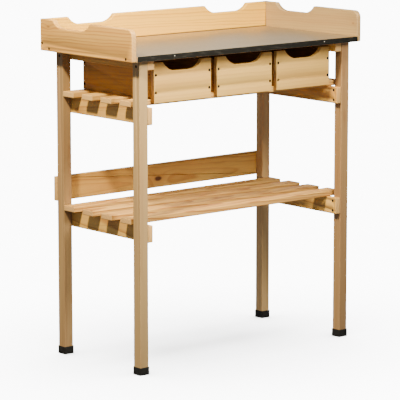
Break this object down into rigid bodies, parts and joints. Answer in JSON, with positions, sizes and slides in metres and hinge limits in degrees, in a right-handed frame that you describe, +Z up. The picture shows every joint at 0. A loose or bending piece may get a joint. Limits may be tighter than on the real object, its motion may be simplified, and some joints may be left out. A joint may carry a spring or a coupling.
{
  "type": "potting bench",
  "caption": "Wooden potting bench with a galvanised worktop, a low scooped gallery, sliding drawers and a slatted lower shelf.",
  "frame": {"origin": "on the ground under the middle of the bench", "axes": "+Z up, front of the bench faces -Y, +X to the right of someone who faces its front"},
  "size_m": [0.78, 0.38, 0.88],
  "materials": {
    "pine": "planed softwood, thin brown stain",
    "drawer_front": "planed softwood, thin brown stain",
    "leg_wood": "planed softwood, thin brown stain",
    "plywood": "sanded softwood plywood",
    "galvanised_sheet": "satin zinc",
    "shoe": "matte moulded",
    "screw_steel": "dark phosphated"
  },
  "bodies": {
    "root": {"leg_front_left": "leg_wood", "leg_back_left": "leg_wood", "leg_front_right": "leg_wood", "leg_back_right": "leg_wood", "shoe_front_left": "shoe", "shoe_back_left": "shoe", "shoe_front_right": "shoe", "shoe_back_right": "shoe", "top_rail_left": "pine", "upper_shelf_rail_left": "pine", "lower_shelf_rail_left": "pine", "gallery_board_left": "pine", "top_rail_right": "pine", "upper_shelf_rail_right": "pine", "lower_shelf_rail_right": "pine", "gallery_board_right": "pine", "gallery_board_back": "pine", "back_rail": "pine", "upper_slat_1": "pine", "upper_slat_2": "pine", "upper_slat_3": "pine", "upper_slat_4": "pine", "lower_slat_1": "pine", "lower_slat_2": "pine", "lower_slat_3": "pine", "lower_slat_4": "pine", "worktop_panel": "plywood", "worktop_sheet": "galvanised_sheet", "gallery_screw_front_left": "screw_steel", "leg_screw_front_left": "screw_steel", "gallery_screw_back_left": "screw_steel", "leg_screw_back_left": "screw_steel", "corner_screw_left": "screw_steel", "gallery_screw_front_right": "screw_steel", "leg_screw_front_right": "screw_steel", "gallery_screw_back_right": "screw_steel", "leg_screw_back_right": "screw_steel", "corner_screw_right": "screw_steel"},
    "drawer_left": {"drawer_left_front": "drawer_front", "drawer_left_side_left": "pine", "drawer_left_side_right": "pine", "drawer_left_back": "pine", "drawer_left_floor": "plywood"},
    "drawer_middle": {"drawer_middle_front": "drawer_front", "drawer_middle_side_left": "pine", "drawer_middle_side_right": "pine", "drawer_middle_back": "pine", "drawer_middle_floor": "plywood"},
    "drawer_right": {"drawer_right_front": "drawer_front", "drawer_right_side_left": "pine", "drawer_right_side_right": "pine", "drawer_right_back": "pine", "drawer_right_floor": "plywood"}
  },
  "joints": [
    {"name": "drawer_left_slide", "type": "slide", "parent": "root", "child": "drawer_left", "axis": [0, -1, 0], "range_m": [0, 0.22]},
    {"name": "drawer_middle_slide", "type": "slide", "parent": "root", "child": "drawer_middle", "axis": [0, -1, 0], "range_m": [0, 0.22]},
    {"name": "drawer_right_slide", "type": "slide", "parent": "root", "child": "drawer_right", "axis": [0, -1, 0], "range_m": [0, 0.22]}
  ]
}
